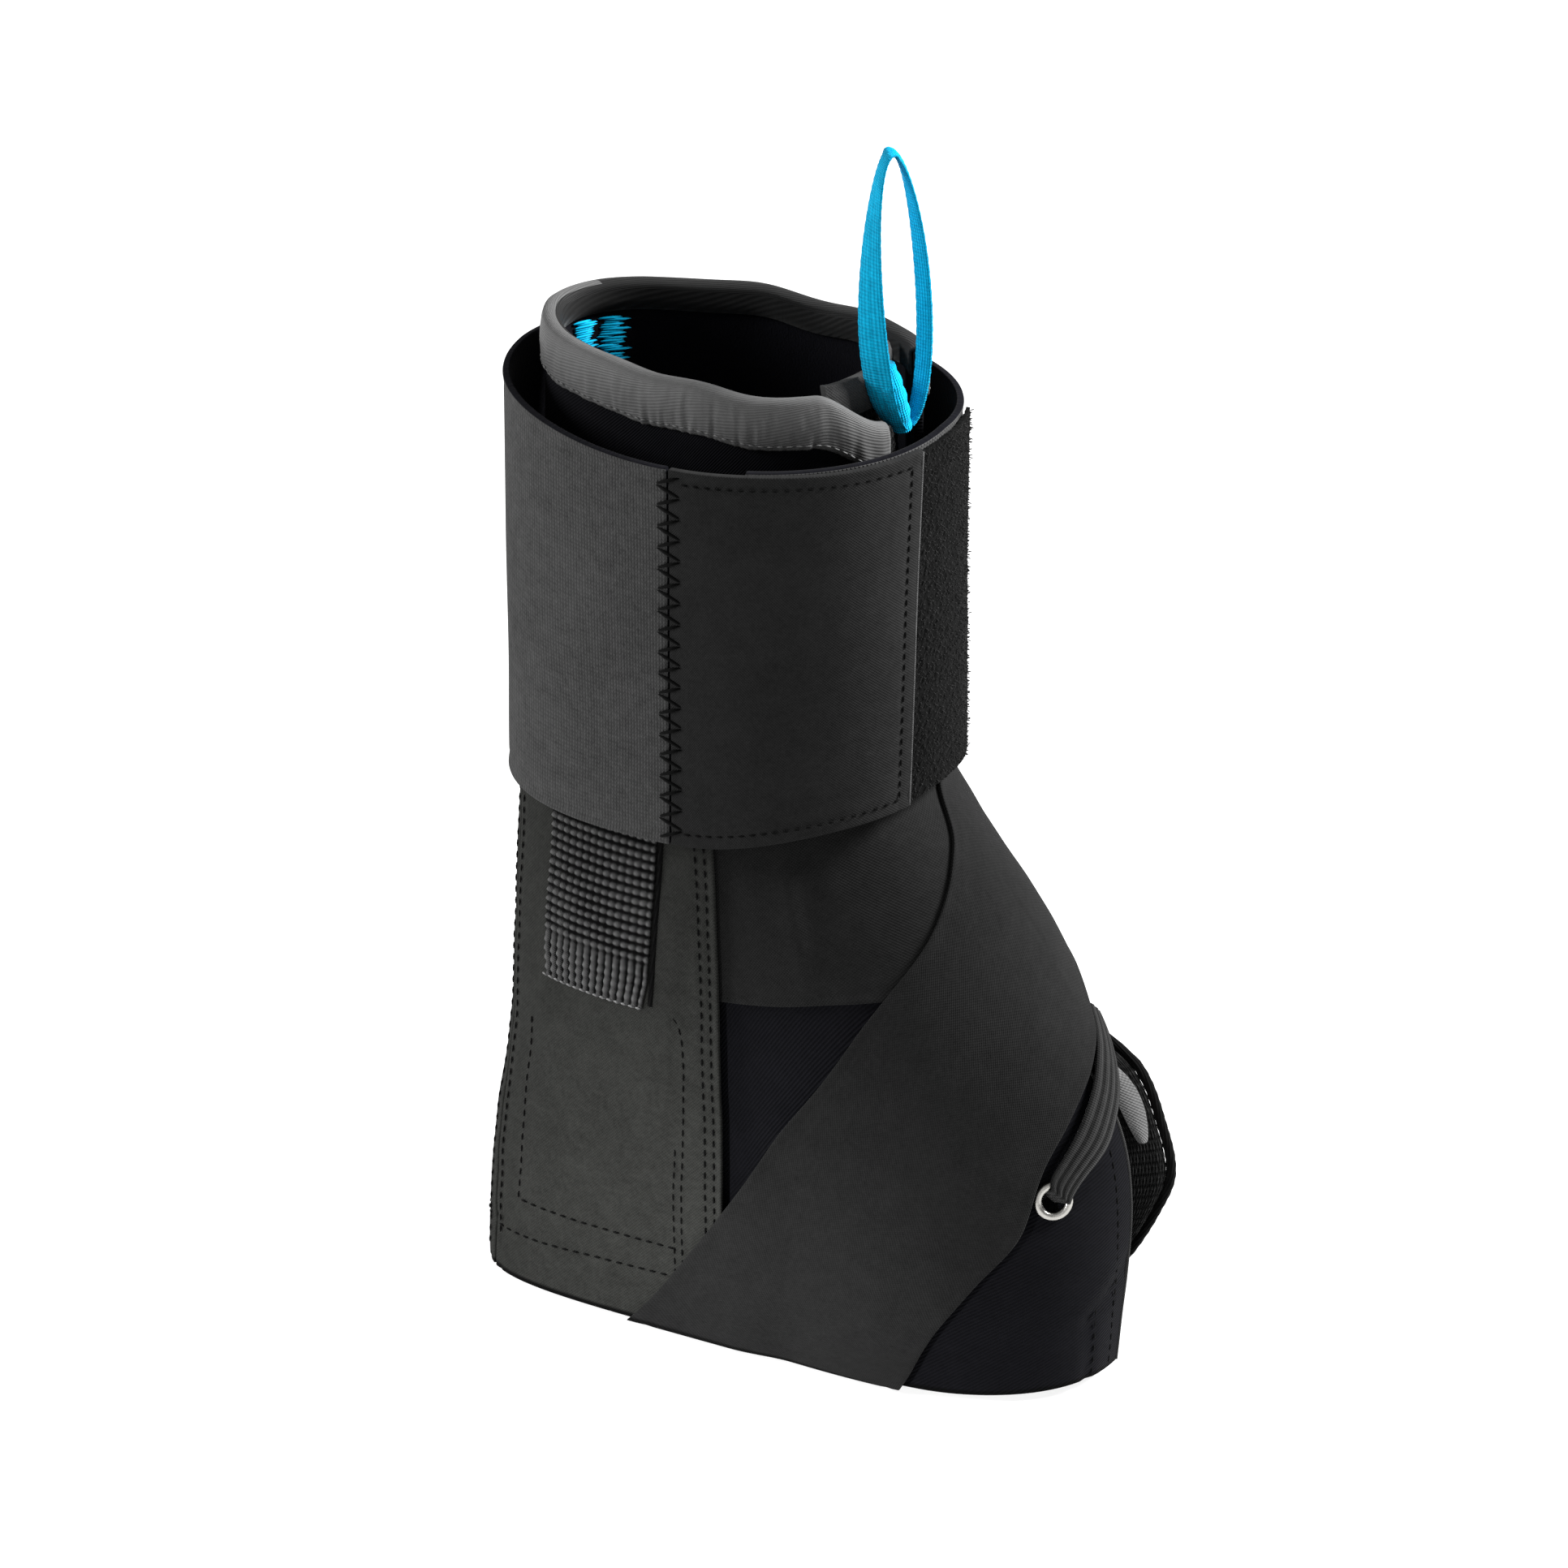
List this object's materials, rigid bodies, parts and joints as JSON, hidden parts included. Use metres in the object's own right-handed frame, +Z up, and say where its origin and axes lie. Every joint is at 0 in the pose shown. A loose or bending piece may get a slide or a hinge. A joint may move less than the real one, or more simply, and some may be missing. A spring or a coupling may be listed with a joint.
{
  "type": "ankle brace",
  "caption": "Lace-up ankle support with figure-of-eight straps, an elastic cuff, padded tongue and a pull loop, standing empty on its sole.",
  "frame": {"origin": "on the underside of the sole, below the middle of the leg opening", "axes": "+Z up along the leg, +X to the toe, +Y to the medial side"},
  "size_m": [0.1692, 0.087, 0.295],
  "materials": {
    "boot_lining_fabric": "soft brushed knit, nearly black",
    "sole_fabric": "plain black cloth",
    "satin_binding": "grey satin tape, slightly crinkled",
    "tongue_mesh": "black spacer mesh over padding",
    "black_binding": "black rolled binding",
    "blue_ribbon": "blue woven ribbon",
    "panel_fabric": "dark grey coated cloth with stitched pocket",
    "basket_webbing": "coarse basket-weave webbing",
    "strap_fabric": "smooth dark strap cloth",
    "cuff_knit": "ribbed grey elastic knit",
    "tab_fabric": "smooth dark tab with stitched borders",
    "hook_pile": "rough hook-and-loop pile",
    "eyelet_metal": "polished pressed ring",
    "lace_braid": "flat braided lace",
    "grey_webbing": "light grey webbing"
  },
  "bodies": {
    "root": {"boot_body": "boot_lining_fabric", "sole": "sole_fabric", "collar_binding": "satin_binding", "tongue": "tongue_mesh", "tongue_binding": "black_binding", "pull_loop": "blue_ribbon", "lateral_stay_panel": "panel_fabric", "medial_stay_panel": "panel_fabric", "heel_panel": "panel_fabric", "lateral_webbing": "basket_webbing", "medial_webbing": "basket_webbing", "lateral_strap": "strap_fabric", "medial_strap": "strap_fabric", "cuff_elastic": "cuff_knit", "cuff_tab": "tab_fabric", "cuff_pile": "hook_pile", "lateral_eyelet": "eyelet_metal", "medial_eyelet": "eyelet_metal", "lace": "lace_braid", "lace_loop": "grey_webbing"}
  },
  "joints": []
}
